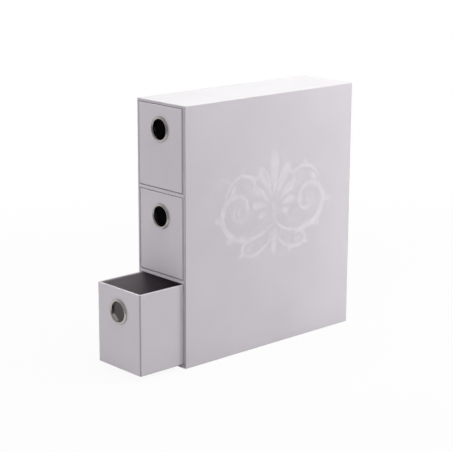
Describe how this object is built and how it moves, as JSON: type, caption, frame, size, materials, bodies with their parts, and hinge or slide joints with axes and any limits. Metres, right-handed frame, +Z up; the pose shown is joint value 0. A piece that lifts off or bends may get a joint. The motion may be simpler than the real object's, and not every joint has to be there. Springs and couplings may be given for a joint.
{
  "type": "card storage box with drawers",
  "caption": "Tall rigid-board card box whose open-topped drawers, stacked one above another, slide out by metal finger rings.",
  "frame": {"origin": "centre of the case's underside, which rests on the table", "axes": "+Z up; -Y out of the drawers' fronts, the way they slide open; +X to the right for a viewer who faces the drawers' fronts and looks along +Y"},
  "size_m": [0.085, 0.3424, 0.3111],
  "materials": {
    "wrap_paper": "matte",
    "lining_paper": "matte",
    "greyboard": "matte",
    "nickel_steel": "polished"
  },
  "bodies": {
    "case": {"case_top_board": "greyboard", "case_base_board": "greyboard", "case_left_board": "greyboard", "case_right_board": "greyboard", "case_back_board": "greyboard", "upper_shelf_board": "greyboard", "lower_shelf_board": "greyboard", "case_wrap": "wrap_paper", "back_sheet": "wrap_paper", "base_sheet": "wrap_paper", "upper_shelf_edge_strip": "wrap_paper", "lower_shelf_edge_strip": "wrap_paper", "upper_shelf_lining": "lining_paper", "lower_shelf_lining": "lining_paper", "left_side_lining": "lining_paper", "right_side_lining": "lining_paper", "back_lining": "lining_paper", "ceiling_lining": "lining_paper", "floor_lining": "lining_paper"},
    "top_drawer": {"top_drawer_front_board": "greyboard", "top_drawer_back_board": "greyboard", "top_drawer_left_board": "greyboard", "top_drawer_right_board": "greyboard", "top_drawer_floor_board": "greyboard", "top_drawer_wrap": "wrap_paper", "top_drawer_lining": "lining_paper", "top_drawer_finger_ring": "nickel_steel", "top_drawer_ring_washer": "nickel_steel"},
    "middle_drawer": {"middle_drawer_front_board": "greyboard", "middle_drawer_back_board": "greyboard", "middle_drawer_left_board": "greyboard", "middle_drawer_right_board": "greyboard", "middle_drawer_floor_board": "greyboard", "middle_drawer_wrap": "wrap_paper", "middle_drawer_lining": "lining_paper", "middle_drawer_finger_ring": "nickel_steel", "middle_drawer_ring_washer": "nickel_steel"},
    "bottom_drawer": {"bottom_drawer_front_board": "greyboard", "bottom_drawer_back_board": "greyboard", "bottom_drawer_left_board": "greyboard", "bottom_drawer_right_board": "greyboard", "bottom_drawer_floor_board": "greyboard", "bottom_drawer_wrap": "wrap_paper", "bottom_drawer_lining": "lining_paper", "bottom_drawer_finger_ring": "nickel_steel", "bottom_drawer_ring_washer": "nickel_steel"}
  },
  "joints": [
    {"name": "top_drawer_slide", "type": "slide", "parent": "case", "child": "top_drawer", "axis": [0, -1, 0], "range_m": [-0.001, 0.239]},
    {"name": "middle_drawer_slide", "type": "slide", "parent": "case", "child": "middle_drawer", "axis": [0, -1, 0], "range_m": [-0.0003, 0.2397]},
    {"name": "bottom_drawer_slide", "type": "slide", "parent": "case", "child": "bottom_drawer", "axis": [0, -1, 0], "range_m": [-0.0648, 0.1752]}
  ]
}
